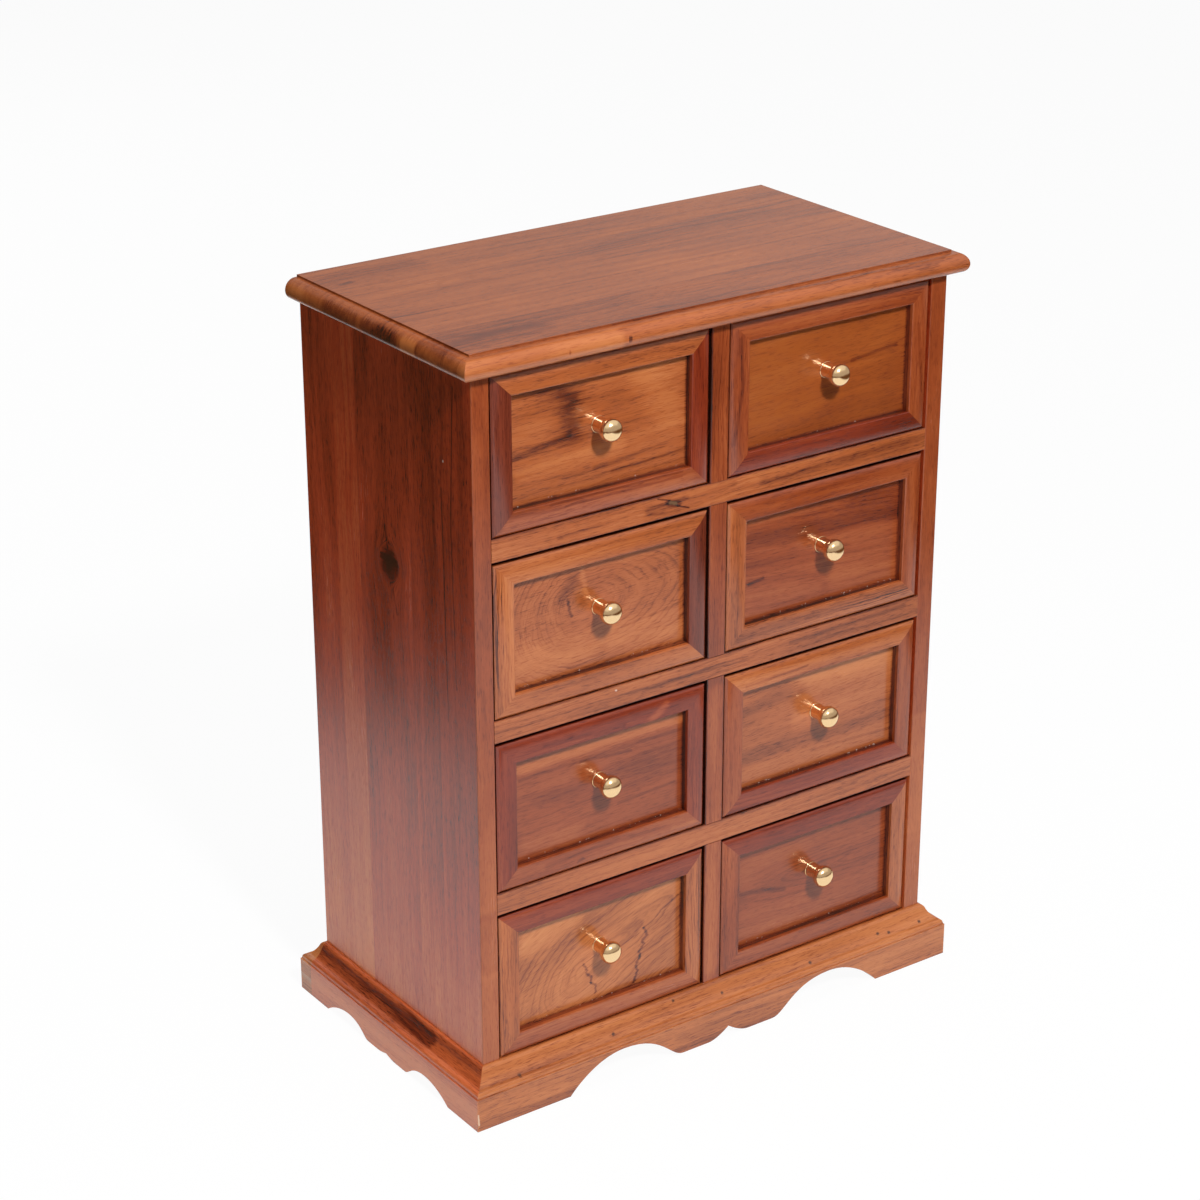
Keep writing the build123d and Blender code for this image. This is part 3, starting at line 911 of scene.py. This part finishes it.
side_marks = (
    (((297, 0.5), (308, 2.5)), 1.6, -0.2),
    (((274, -4), (262, -7)), 1.2, -0.2),
    (((240, -62), (330, -60), (400, -64)), 0.9, -0.25),
    (((220, -54), (345, -52)), 0.8, -0.25),
    (((30, -83), (78, -83)), 5, -0.3),
    (((86, -83), (118, -83)), 5, -0.5),
    (((370, -83), (405, -83)), 5, 0.08),
)
white_speck = (((359.3, -54.2), (359.7, -54.2)), 0.7, (0.60, 0.45, 0.36))
side_figure = {"clouds": 0.3, "streaks": 0.2, "lines": 0.06, "rings": 0.1, "edge": (stile_face, chestnut)}
# Painted light: foot makes both sides lighter towards the floor, for the light thrown up from the paper.
left_wood = teak(
    "left_side_teak", "ZYX", mahogany, 1.4, rise=0.02, heart=(200, 260), spacing=7, foot=(230, 0, 0.47),
    planks=side_planks, knots=((side_knot, 9.0),), marks=side_marks, stains=(white_speck,), **side_figure,
)
right_planks = ((stile_face, -0.1), (-30.0, 0.1), (14.0, -0.12), (52.0, 0.14))
right_marks = (
    (((300, -83), (405, -83)), 5, -0.2),
    (((80, -83), (150, -83)), 5, 0.4),
    (((30, -83), (70, -83)), 5, -0.35),
)
right_wood = teak(
    "right_side_teak", "ZYX", mahogany, 2.6, rise=-0.02, heart=(120, -300), spacing=6, foot=(230, 0, 0.42),
    planks=right_planks, marks=right_marks, **side_figure,
)
dress(top, top_wood)
dress(cad_nodes["left_side"], left_wood)
dress(cad_nodes["right_side"], right_wood)

# %% Rails, dividers and the plinth
shelves = ("shelf_1", "shelf_2", "shelf_3")
# Painted shade: gap_line and gap_shade put a thin dark line along each edge of the rails and dividers, next
# to the gaps, and gap_rim starts the painted shade on the walls of those gaps.
gap_rim = carcass_low.y / mm + 0.7
gap_line = 0.8
gap_shade = -0.4
rail_edges = [corner.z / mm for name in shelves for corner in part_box(name)]
rail_marks = [(((-140, z), (140, z)), gap_line, gap_shade) for z in rail_edges]
rail_marks += [
    (((-140, 318), (-50, 318)), 6, 0.18),
    (((30, 318), (140, 318)), 6, -0.22),
    (((-145, 220), (150, 220)), 7, -0.16),
    (((-145, 122), (150, 122)), 7, 0.08),
    (((-100, 316), (-20, 320)), 2, -0.22),
    (((-45, 317), (10, 321)), 3, -0.22),
    (((50, 221), (130, 223)), 2.2, -0.22),
    (((40, 122), (100, 124)), 1.4, -0.2),
    (((-32, 319.5), (-26, 317.5)), 3, -0.4),
    (((-39, 323), (-31, 320.5), (-26, 316.5), (-19, 314)), 0.7, -0.5),
]
filled_chip = (((-31, 319.4), (-27.5, 318.2)), 1.5, (0.13, 0.065, 0.028))
chipped_speck = (((-65.0, 224.0), (-64.4, 223.8)), 0.7, (0.60, 0.45, 0.36))
rail_wood = teak(
    "rail_teak", "XZY", honey, 3.2, rise=0.015, spacing=4, rings=0.22, streaks=0.4,
    marks=rail_marks, stains=(filled_chip, chipped_speck), rim=gap_rim,
)
divider_edges = [corner.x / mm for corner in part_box("divider_1")]
divider_marks = [(((31, x), (409, x)), gap_line, gap_shade) for x in divider_edges]
divider_marks.append((((40, 0), (205, 0)), 8.0, 0.35))
divider_wood = teak(
    "divider_teak", "ZXY", chestnut, 4.5, clouds=0.8, spacing=3, rings=0.25, marks=divider_marks, rim=gap_rim
)

nail_places = (
    (-132.4, 22.7), (-70.3, 24.5), (-28.2, 29.2), (3.4, 24.6),
    (64.9, 23.5), (115.5, 24.9), (123.0, 23.7), (145.7, 23.5),
)
nail_fills = [(((x - 0.3, z), (x + 0.3, z)), 1.1, (0.09, 0.030, 0.014)) for x, z in nail_places]
worn_corner = (((-160.4, 4), (-160.8, 10)), 0.8, (0.62, 0.42, 0.28))
plinth_marks = (
    (((-158, 2), (165, 1)), 6, -0.18),
    (((-30, 11), (60, 9)), 5, -0.12),
    (((-163, 0), (-163, 34)), 3, 0.5),
    (((163, 0), (163, 34)), 3, 0.5),
)
plinth_wood = teak(
    "plinth_teak", "XZY", pale_honey, 5.1, heart=(0, -90), spacing=6, streaks=0.45,
    marks=plinth_marks, stains=(*nail_fills, worn_corner),
)
# Painted shade and light: the slope of the side boards' moulding is darker and their face lighter, for the
# shade on the slope and the paper's reflection in the face.
plinth_side_painted_light = ((((-36, 26), (95, 26)), 6.0, -0.36), (((-95, 8), (95, 8)), 14.0, 0.5))
plinth_side_wood = teak(
    "plinth_side_teak", "YZX", cedar, 6.7, heart=(0, -90), spacing=5, streaks=0.4, marks=plinth_side_painted_light
)

for name in (*shelves, "bottom_board"):
    dress(cad_nodes[name], rail_wood)
for row in rows:
    dress(cad_nodes[f"divider_{row}"], divider_wood)
for board in (plinth_front, plinth_back):
    dress(board, plinth_wood)
for board in (plinth_left, plinth_right):
    dress(board, plinth_side_wood)
dress(cad_nodes["top_dowels"], divider_wood)
print("carcass dressed")

# %% [markdown]
# ## The frame strips
#
# No two drawers are alike: strips and panels were taken from whatever offcuts came to hand, pale and dark,
# plain and striped. Five strip woods, each cut for upright and level strips, are shared out. The marks
# belong to single strips, and because every place on the chest is different, one wood can carry them all.
# The walls of the strips are darker than their faces: that is painted shade on the walls that drop into the
# gaps round the drawer and down to the panel.

# %% Strip finishes
striped_figure = {"rings": 0.42, "lines": 0.35, "spacing": 1.9, "streaks": 0.5}
plain_figure = {"rings": 0.12, "lines": 0.2, "spacing": 4.0, "streaks": 0.38}
strip_tones = {"plum": plum, "red": russet, "brown": chestnut, "light": honey, "striped": honey}
strip_marks = {
    ("light", "XZY"): (
        (((20, 203), (62, 205)), 1.2, -0.3),
        (((44, 200.5), (122, 203)), 1, -0.25),
        (((-130, 302), (-15, 302)), 6, 0.2),
        (((-130, 400), (-15, 400)), 7, 0.1),
        (((15, 204), (130, 204)), 6, 0.2),
    ),
    ("red", "XZY"): (
        (((-46, 199), (-33, 207)), 3.5, 0.45),
        (((-110, 205), (-60, 203)), 2, -0.25),
        (((14, 331), (132, 331)), 9, -0.15),
    ),
    ("brown", "XZY"): (
        (((-105, 334.6), (-24, 334.9)), 0.9, -0.3),
        (((-96, 332), (-24, 332.4)), 0.8, -0.25),
        (((-130, 329), (-20, 329)), 6, 0.22),
        (((-130, 38), (-15, 38)), 7, 0.2),
        (((-108, 136), (-62, 138), (-30, 134)), 3, -0.18),
        (((-89, 132.6), (-86, 133.4)), 1.6, -0.35),
        (((-130, 133), (-15, 133)), 7, 0.18),
    ),
    ("brown", "ZXY"): (
        (((330, 11), (400, 11)), 6, -0.15),
        (((342, 9), (372, 14), (398, 12)), 1.8, -0.26),
        (((346, 135), (384, 131)), 1.6, -0.24),
    ),
    ("light", "ZXY"): ((((232, 13), (302, 13)), 7.0, -0.15),),
    ("striped", "XZY"): ((((14, 234), (130, 234)), 7.0, -0.15),),
    ("striped", "ZXY"): ((((232, -131), (302, -131)), 7.0, 0.2),),
    ("plum", "ZXY"): ((((232, -13), (302, -13)), 8.0, -0.15),),
}
# Painted shade: the walls of the strips are darkened from wall_start below their face.
wall_start = 1.9
strip_rim = frame_low.y / mm + wall_start
strip_woods = {}
for number, (wood, tones) in enumerate(strip_tones.items()):
    figure = striped_figure if wood == "striped" else plain_figure
    for axes in ("XZY", "ZXY"):
        marks = strip_marks.get((wood, axes), ())
        name = f"strip_{wood}_{axes[0].lower()}"
        seed = 10 + 1.7 * number
        strip_woods[wood, axes] = teak(name, axes, tones, seed, marks=marks, rim=strip_rim, **figure)

# top, bottom, left and right strip of each drawer
strip_choice = {
    "drawer_left_1": ("light", "brown", "plum", "red"),
    "drawer_left_2": ("light", "light", "striped", "plum"),
    "drawer_left_3": ("red", "brown", "red", "red"),
    "drawer_left_4": ("red", "brown", "striped", "striped"),
    "drawer_right_1": ("brown", "red", "brown", "brown"),
    "drawer_right_2": ("brown", "striped", "light", "brown"),
    "drawer_right_3": ("light", "red", "brown", "brown"),
    "drawer_right_4": ("red", "brown", "brown", "light"),
}
for drawer, (above, below, left, right) in strip_choice.items():
    level_woods = (strip_woods[above, "XZY"], strip_woods[below, "XZY"])
    upright_woods = (strip_woods[left, "ZXY"], strip_woods[right, "ZXY"])
    dress(frames[drawer], *level_woods, *upright_woods)
print(len(strip_woods), "strip woods")

# %% [markdown]
# ## The panels
#
# Every panel has a figure of its own. A heart far away gives straight grain, a heart on the panel gives
# arches. Before and beyond say how quickly the rings close on either side of it.

# %% Panel figures
panel_figures = {
    "drawer_left_1": dict(tones=honey, rise=0.03, streaks=0.2, lines=0.12),
    "drawer_left_2": dict(
        tones=honey, rise=0.06, rings=0.2, ripple=4.0, lines=0.16,
        heart=(-84, 273), before=0.85, beyond=0.42, spacing=2.6,
    ),
    "drawer_left_3": dict(tones=chestnut, rise=0.02, streaks=0.18),
    "drawer_left_4": dict(
        tones=pale_honey, rise=0.42, rings=0.22, ripple=2.5, lines=0.12,
        heart=(-84, 62), before=0.8, beyond=0.2, spacing=4.0,
    ),
    "drawer_right_1": dict(tones=olive, rise=0.05, rings=0.08, streaks=0.2, lines=0.1),
    "drawer_right_2": dict(tones=chestnut, rise=-0.05, streaks=0.35, lines=0.18),
    "drawer_right_3": dict(tones=honey, rise=0.05, rings=0.08, streaks=0.22, lines=0.1),
    "drawer_right_4": dict(
        tones=chestnut, rise=0.0, rings=0.24, streaks=0.25,
        heart=(112, 74.4), before=0.12, beyond=0.05, spacing=2.4,
    ),
}
panel_marks = {
    "drawer_left_1": (
        (((-112, 396), (-98, 391), (-88, 385), (-93, 379), (-88, 368)), 14, -0.22),
        (((-106, 394), (-95, 390), (-86, 385), (-91, 379), (-87, 369)), 7.5, -0.2),
        (((-95, 389), (-86, 385), (-90, 380)), 4, -0.12),
        (((-90, 367), (-104, 364), (-124, 361)), 3.2, -0.3),
        (((-44, 388), (-26, 366)), 16, 0.28),
        (((-74, 346), (-20, 350)), 2.4, -0.18),
        (((-64, 342), (-20, 344)), 2, -0.15),
        (((-118, 352), (-60, 355)), 7, 0.24),
    ),
    "drawer_left_2": (
        (((-91.5, 279), (-89.5, 270)), 1.5, -0.4),
        (((-80, 279), (-83, 295)), 2.6, 0.28),
        (((-88, 290), (-94, 282)), 6, -0.2),
        (((-58, 256), (-22, 260)), 1.2, -0.2),
        (((-64, 254), (-24, 250)), 14, 0.25),
        (((-120, 252), (-82, 250)), 14, 0.2),
    ),
    "drawer_left_3": (
        (((-122, 192.5), (-72, 194), (-16, 194)), 4.5, 0.55),
        (((-122, 187), (-78, 187.6), (-20, 187.6)), 1.6, -0.28),
        (((-84, 186.8), (-52, 184.6)), 1.5, -0.3),
        (((-112, 172), (-40, 176)), 5, -0.12),
        (((-118, 150), (-88, 149)), 9, 0.2),
        (((-60, 156), (-24, 158)), 1.4, -0.22),
    ),
    "drawer_left_4": (
        (((-20, 89), (-31, 83.5), (-37, 78.5), (-43, 76)), 0.9, -0.34),
        (((-43, 76), (-40.6, 71), (-44, 68.5), (-42.8, 66), (-46.2, 62.5), (-45.2, 59.5)), 1.4, -0.42),
        (((-45.2, 59.5), (-48.2, 55), (-47.2, 51), (-49.5, 45)), 1.4, -0.42),
        (((-82.6, 66.6), (-80.4, 63), (-80.8, 60.5), (-77.4, 57.5), (-77.8, 54)), 1.3, -0.42),
        (((-77.8, 54), (-74.6, 51.5), (-74.8, 47)), 1.2, -0.42),
        (((-118, 90), (-92, 97)), 14, 0.3),
    ),
    "drawer_right_1": (
        (((90, 370.5), (120, 374)), 1.8, -0.34),
        (((62, 371.5), (92, 370)), 1.2, -0.14),
        (((118, 346), (122, 380)), 14, -0.1),
        (((22, 342), (124, 340)), 12, -0.18),
    ),
    "drawer_right_2": (
        (((18, 284), (70, 280), (128, 277)), 7, -0.26),
        (((24, 294), (90, 292)), 3, 0.18),
        (((92, 290), (128, 284)), 12, -0.16),
        (((84, 250), (128, 246)), 12, 0.25),
        (((24, 259.5), (34, 261)), 1.5, -0.46),
        (((24, 252), (70, 247)), 7, 0.16),
    ),
    "drawer_right_3": (
        (((18, 184.5), (40, 187), (62, 189)), 7, -0.24),
        (((62, 189), (86, 190.5)), 5, -0.14),
        (((18, 178), (56, 182)), 3, -0.12),
        (((20, 157), (70, 158), (128, 157)), 6, -0.22),
        (((70, 150), (128, 148)), 1.4, -0.2),
        (((60, 172), (126, 176)), 9, 0.22),
        (((66, 196), (126, 192)), 16, 0.36),
    ),
    "drawer_right_4": (
        (((18, 76), (38, 73), (54, 69)), 2.4, -0.3),
        (((18, 97), (74, 98)), 3, -0.18),
        (((24, 60), (70, 58)), 6, 0.1),
    ),
}

# %% Dress the panels and the insides
panel_half = (frame_half_width - strip_width, frame_half_height - strip_width)
for number, (drawer, figure) in enumerate(panel_figures.items()):
    drawer_low, drawer_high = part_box(f"{drawer}_frame")
    middle = (drawer_low + drawer_high) / 2
    border = ((middle.x / mm, middle.z / mm), [half / mm for half in panel_half], panel_face / mm)
    seed = 20 + 2.1 * number
    marks = panel_marks[drawer]
    panel_wood = teak(f"{drawer}_panel_teak", "XZY", seed=seed, border=border, marks=marks, **figure)
    dress(cad_nodes[f"{drawer}_front"], panel_wood)

wall_wood = teak("drawer_wall_teak", "YZX", pale_honey, 40.0, spacing=4, rings=0.25, gloss=0.45)
bottom_ply = teak("drawer_bottom_ply", "XYZ", pale_honey, 44.0, clouds=0.4, spacing=11, gloss=0.5)
back_ply = teak("back_panel_ply", "ZXY", honey, 47.0, heart=(200, 60), spacing=8, rings=0.3, gloss=0.5)
for drawer in drawers:
    dress(cad_nodes[f"{drawer}_walls"], wall_wood)
    dress(cad_nodes[f"{drawer}_bottom"], bottom_ply)
dress(cad_nodes["back_panel"], back_ply)
print(len(panel_figures), "panels")

# %% [markdown]
# ## Brass and steel
#
# The knobs are polished and lacquered brass, so they mirror the pale paper and the dim room. A faint
# unevenness in the roughness keeps the reflections from looking perfect. Screws and nails are plain steel.

# %% Metal finishes
def metal(name, colour, roughness, variation):
    """Bare metal whose polish varies a little from place to place."""
    material, nodes = new_finish(name)
    place = nodes.add("TexCoord", output="Object")
    smudge = nodes.add("TexNoise", (), {"Vector": place, "Scale": 400, "Detail": 3})
    dull = [0.9 * part for part in colour]
    shade = nodes.blend(smudge, (*dull, 1), (*colour, 1))
    shader = nodes.add(
        "BsdfPrincipled",
        (),
        {"Base Color": shade, "Metallic": 1.0, "Roughness": roughness + variation * (smudge - 0.5)},
    )
    nodes.add("OutputMaterial", (), {"Surface": shader})
    return material


brass = metal("polished_brass", (0.97, 0.69, 0.38), 0.16, 0.12)
steel = metal("plain_steel", (0.55, 0.54, 0.52), 0.35, 0.2)
for drawer in drawers:
    dress(knobs[drawer], brass)
    dress(screws[drawer], steel)
dress(cad_nodes["plinth_nails"], steel)
dress(cad_nodes["back_nails"], steel)

# %% [markdown]
# ## Paper and room
#
# The chest stands on a strip of white paper that runs away from the camera in a dim studio. Varnish and
# brass show what is around them, so in their reflections the paper is white in the middle, fades towards
# its long edges and leaves the room brown low down. Above, the room is pale where the lamps light it: in
# front and behind on the right. It is there for reflections alone. A large ground that only the camera sees
# carries the white on to the horizon.

# %% The stage
paper_turn = math.radians(35.4)
paper_middle = 0.085
paper_white, paper_half = 0.495, 0.715
paper_front, paper_back = -1.1, 0.8
ground_half = 6.0
ground_drop = 0.3 * mm
room_half = 1.6
room_low, room_high = -0.8, 1.8
dim_light = (0.13, 0.06, 0.025)
glow_share = 0.95
back_light = 0.5
front_light, front_rise = 0.4, 0.4

floor_finish, nodes = new_finish("white_paper")
place = nodes.add("SeparateXYZ", (), {0: nodes.add("TexCoord", output="Object")})
off_middle = math.cos(paper_turn) * place - math.sin(paper_turn) * place.output("Y") - paper_middle
lit = nodes.fade(off_middle.maths("ABSOLUTE", off_middle), paper_half, paper_white)
ray = nodes.add("LightPath")
camera_ray = ray.output("Is Camera Ray")
seen = camera_ray.maths("MAXIMUM", camera_ray, ray.output("Is Glossy Ray"))
seen = seen.maths("MAXIMUM", seen, ray.output("Is Transmission Ray"))
shade = nodes.blend(lit.maths("MAXIMUM", lit, camera_ray), (*dim_light, 1), (1, 1, 1, 1))
matt = nodes.add("BsdfDiffuse", (), {"Color": (0.85, 0.85, 0.85, 1)})
glow = nodes.add("Emission", (), {"Color": shade, "Strength": 1.0})
shader = nodes.add("MixShader", (), {0: glow_share * seen, 1: matt, 2: glow})
nodes.add("OutputMaterial", (), {"Surface": shader})

paper_centre = Vector((paper_middle, (paper_front + paper_back) / 2, 0))
paper_centre.rotate(Euler((0, 0, -paper_turn)))
paper = start_piece(
    "white_paper_strip",
    "plane",
    scale=(2 * paper_half, paper_back - paper_front, 1),
    size=1,
    location=paper_centre,
    rotation=(0, 0, -paper_turn),
)
close_piece(paper)
ground = start_piece("white_ground", "plane", size=2 * ground_half, location=(0, 0, -ground_drop))
close_piece(ground)

room_finish, nodes = new_finish("dim_room")
across = nodes.add("SeparateXYZ", (), {0: nodes.add("TexCoord", output="Object")})
away = across.output("Y")
height = across.output("Z")
behind = back_light * nodes.fade(across, -1.2, 1.8) * nodes.fade(away, 0.6, 1.0)
before = (front_light + front_rise * nodes.fade(height, 0.8, 1.5)) * nodes.fade(away, 0.3, -0.3)
lit = behind.maths("MAXIMUM", behind, before) * nodes.fade(height, 0.0, 0.2)
shade = nodes.blend(lit, (*dim_light, 1), (1, 1, 1, 1))
glow = nodes.add("Emission", (), {"Color": shade, "Strength": 1.0})
nodes.add("OutputMaterial", (), {"Surface": glow})
room = start_piece(
    "dim_room_walls",
    "cube",
    scale=(room_half, room_half, (room_high - room_low) / 2),
    size=2,
    location=(0, 0, (room_low + room_high) / 2),
)
close_piece(room)

ground.visible_glossy = False
room.visible_camera = False
for piece in (ground, room):
    piece.visible_diffuse = False
    piece.visible_transmission = False
    piece.visible_shadow = False
for piece, finish in ((paper, floor_finish), (ground, floor_finish), (room, room_finish)):
    dress(piece, finish)
    piece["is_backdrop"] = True

# %% [markdown]
# ## Light
#
# A small lamp in front and above, a little to the left, draws the shadows of the knobs and frames. A large
# soft one overhead lights the top and the paper, which throws light up on the sides, and a weak one lights
# the back. The world gives a weak even fill. To the camera and to mirrors it is plain white.

# %% The lamps and the world
def add_lamp(name, around, up, distance, size, power):
    """A round lamp that looks at the chest, placed by two angles and a distance."""
    around, up = math.radians(around), math.radians(up)
    toward = Vector((math.sin(around) * math.cos(up), -math.cos(around) * math.cos(up), math.sin(up)))
    bpy.ops.object.light_add(type="AREA", location=lamp_aim + distance * toward)
    lamp = bpy.context.object
    lamp.name = name
    lamp.data.shape = "DISK"
    lamp.data.size = size
    lamp.data.energy = power
    lamp.rotation_euler = toward.to_track_quat("Z", "Y").to_euler()
    print(name, "at", [round(value, 3) for value in lamp.location])


lamp_aim = Vector((0, 0, 0.22))
add_lamp("front_lamp", -12, 43, 2.0, 0.24, 40)
add_lamp("overhead_lamp", 0, 84, 2.8, 1.6, 27)
add_lamp("back_lamp", -178, 25, 2.4, 1.2, 14)

world = bpy.data.worlds.new("studio")
bpy.context.scene.world = world
world.use_nodes = True
nodes = Nodes(world.node_tree)
ray = nodes.add("LightPath")
hidden = (1 - ray.output("Is Camera Ray")) * (1 - ray.output("Is Glossy Ray"))
hidden = hidden * (1 - ray.output("Is Transmission Ray"))
fill = 0.10
strength = 1 - (1 - fill) * hidden
background = nodes.add("Background", (), {"Color": (1, 1, 1, 1), "Strength": strength})
nodes.add("OutputWorld", (), {"Surface": background})
print("fill", fill)

# %% [markdown]
# ## The camera
#
# The view is from the front left and above, with a long lens, so parallels converge only a little.

# %% Place the camera
eye = (-0.86284, -1.18840, 0.85380)
look_down = 22.993
look_round = 35.435
roll = 0.054
bpy.ops.object.camera_add(
    location=eye,
    rotation=(math.radians(90 - look_down), math.radians(roll), math.radians(-look_round)),
)
camera = bpy.context.object
camera.data.lens = 88.0
camera.data.sensor_width = 36.0
bpy.context.scene.camera = camera
bpy.context.scene.view_settings.view_transform = "Standard"

# %% Measure and finish
visual_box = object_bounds()
for name, box in (("CAD", cad_box), ("visual", visual_box)):
    print(name, "box:", [in_mm(corner, 1) for corner in box], "mm")
